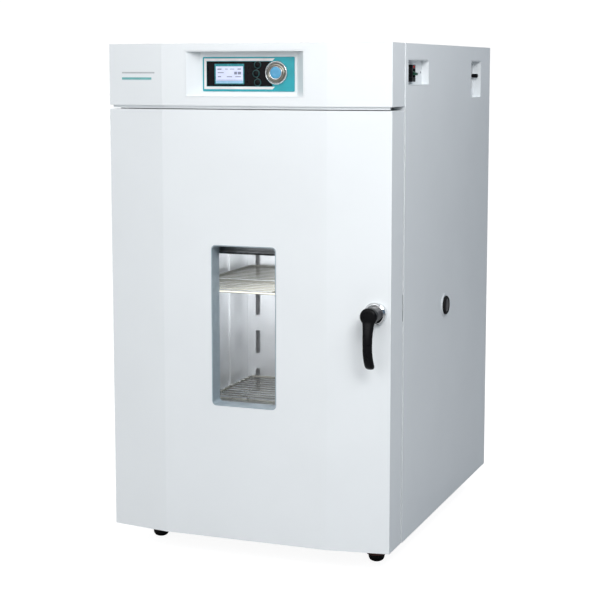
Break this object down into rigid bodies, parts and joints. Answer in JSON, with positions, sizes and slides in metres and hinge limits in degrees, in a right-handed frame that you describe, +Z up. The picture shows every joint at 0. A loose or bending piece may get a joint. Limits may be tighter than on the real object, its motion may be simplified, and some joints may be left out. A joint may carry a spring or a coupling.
{
  "type": "laboratory incubator",
  "caption": "Insulated laboratory incubator with a glazed hinged door, wire shelves, lever handle, recessed control panel, access port and levelling feet.",
  "frame": {"origin": "on the floor, under the middle of the bounding box", "axes": "+Z up; the door faces -Y; +X is to the right of someone who faces the door"},
  "size_m": [0.662, 0.8888, 1.13],
  "materials": {
    "white_paint": "satin",
    "pale_paint": "satin",
    "stainless": "satin",
    "satin_steel": "satin",
    "blue_steel": "satin",
    "chrome": "polished",
    "bright_wire": "satin",
    "black_plastic": "satin",
    "dark_rubber": "matte",
    "pale_gasket": "matte",
    "glass_wool": "matte",
    "clear_glass": "polished",
    "teal_label": "satin",
    "screen_plastic": "gloss",
    "blue_plastic": "gloss",
    "brass_bush": "satin",
    "circuit_green": "satin",
    "aluminium": "satin",
    "brown_zinc": "satin"
  },
  "bodies": {
    "cabinet": {"outer_shell": "white_paint", "back_panel": "pale_paint", "base_pan": "satin_steel", "front_frame": "pale_paint", "chamber_liner": "stainless", "insulation_jacket": "glass_wool", "duct_panel": "stainless", "fan_motor": "satin_steel", "heater_coil": "satin_steel", "temperature_probe": "chrome", "shelf_rack_left": "stainless", "shelf_rack_right": "stainless", "fascia": "white_paint", "control_bezel": "white_paint", "control_overlay": "teal_label", "display_module": "screen_plastic", "dial_ring": "chrome", "controller_board": "circuit_green", "switch_pocket": "white_paint", "switch_body": "black_plastic", "damper_pocket": "white_paint", "port_sleeve": "pale_paint", "power_inlet": "black_plastic", "foot_pad_front_left": "dark_rubber", "foot_pad_front_right": "dark_rubber", "foot_pad_rear_left": "dark_rubber", "foot_pad_rear_right": "dark_rubber", "foot_adjuster_front_left": "brown_zinc", "foot_adjuster_front_right": "brown_zinc", "foot_adjuster_rear_left": "brown_zinc", "foot_adjuster_rear_right": "brown_zinc", "top_hinge": "pale_paint", "bottom_hinge": "satin_steel", "strike_plate": "satin_steel"},
    "door": {"door_skin": "white_paint", "door_insulation": "glass_wool", "door_liner": "stainless", "door_gasket": "pale_gasket", "window_frame": "blue_steel", "window_glass_outer": "clear_glass", "window_glass_inner": "clear_glass", "window_spacer": "blue_steel", "hinge_bush_upper": "brass_bush", "hinge_bush_lower": "brass_bush", "handle_escutcheon": "chrome"},
    "handle": {"handle_lever": "black_plastic", "handle_spindle": "satin_steel", "latch_cam": "satin_steel"},
    "shelf_lower": {"shelf_lower": "bright_wire"},
    "shelf_upper": {"shelf_upper": "bright_wire"},
    "jog_dial": {"jog_dial": "chrome"},
    "dial_button": {"dial_button": "blue_plastic"},
    "key_upper": {"key_upper": "black_plastic"},
    "key_middle": {"key_middle": "black_plastic"},
    "key_lower": {"key_lower": "black_plastic"},
    "power_toggle": {"power_toggle": "black_plastic"},
    "damper_slider": {"damper_slider": "black_plastic"},
    "port_stopper": {"port_stopper": "dark_rubber"},
    "fan_impeller": {"fan_impeller": "aluminium"}
  },
  "joints": [
    {"name": "door_swing", "type": "hinge", "parent": "cabinet", "child": "door", "pos_m": [-0.305, -0.351, 0.521], "axis": [0, 0, -1], "range_deg": [0, 110]},
    {"name": "handle_turn", "type": "hinge", "parent": "door", "child": "handle", "pos_m": [0.2935, -0.393, 0.569], "axis": [0, 1, 0], "range_deg": [0, 90]},
    {"name": "shelf_lower_slide", "type": "slide", "parent": "cabinet", "child": "shelf_lower", "axis": [0, -1, 0], "range_m": [0, 0.05]},
    {"name": "shelf_upper_slide", "type": "slide", "parent": "cabinet", "child": "shelf_upper", "axis": [0, -1, 0], "range_m": [0, 0.05]},
    {"name": "dial_turn", "type": "hinge", "parent": "cabinet", "child": "jog_dial", "pos_m": [0.068, -0.376, 1.068], "axis": [0, 1, 0], "continuous": true},
    {"name": "dial_press", "type": "slide", "parent": "cabinet", "child": "dial_button", "axis": [0, 1, 0], "range_m": [0, 0.0015], "stiffness_N_per_m": 400},
    {"name": "key_upper_press", "type": "slide", "parent": "cabinet", "child": "key_upper", "axis": [0, 1, 0], "range_m": [0, 0.0012], "stiffness_N_per_m": 300},
    {"name": "key_middle_press", "type": "slide", "parent": "cabinet", "child": "key_middle", "axis": [0, 1, 0], "range_m": [0, 0.0012], "stiffness_N_per_m": 300},
    {"name": "key_lower_press", "type": "slide", "parent": "cabinet", "child": "key_lower", "axis": [0, 1, 0], "range_m": [0, 0.0012], "stiffness_N_per_m": 300},
    {"name": "power_toggle_tilt", "type": "hinge", "parent": "cabinet", "child": "power_toggle", "pos_m": [0.3175, -0.2095, 1.067], "axis": [0, -1, 0], "range_deg": [0, 24]},
    {"name": "damper_slide", "type": "slide", "parent": "cabinet", "child": "damper_slider", "axis": [0, 0, 1], "range_m": [-0.025, 0.025]},
    {"name": "port_stopper_pull", "type": "slide", "parent": "cabinet", "child": "port_stopper", "axis": [1, 0, 0], "range_m": [0, 0.06]},
    {"name": "fan_spin", "type": "hinge", "parent": "cabinet", "child": "fan_impeller", "pos_m": [0, 0.24, 0.527], "axis": [0, 1, 0], "continuous": true}
  ]
}
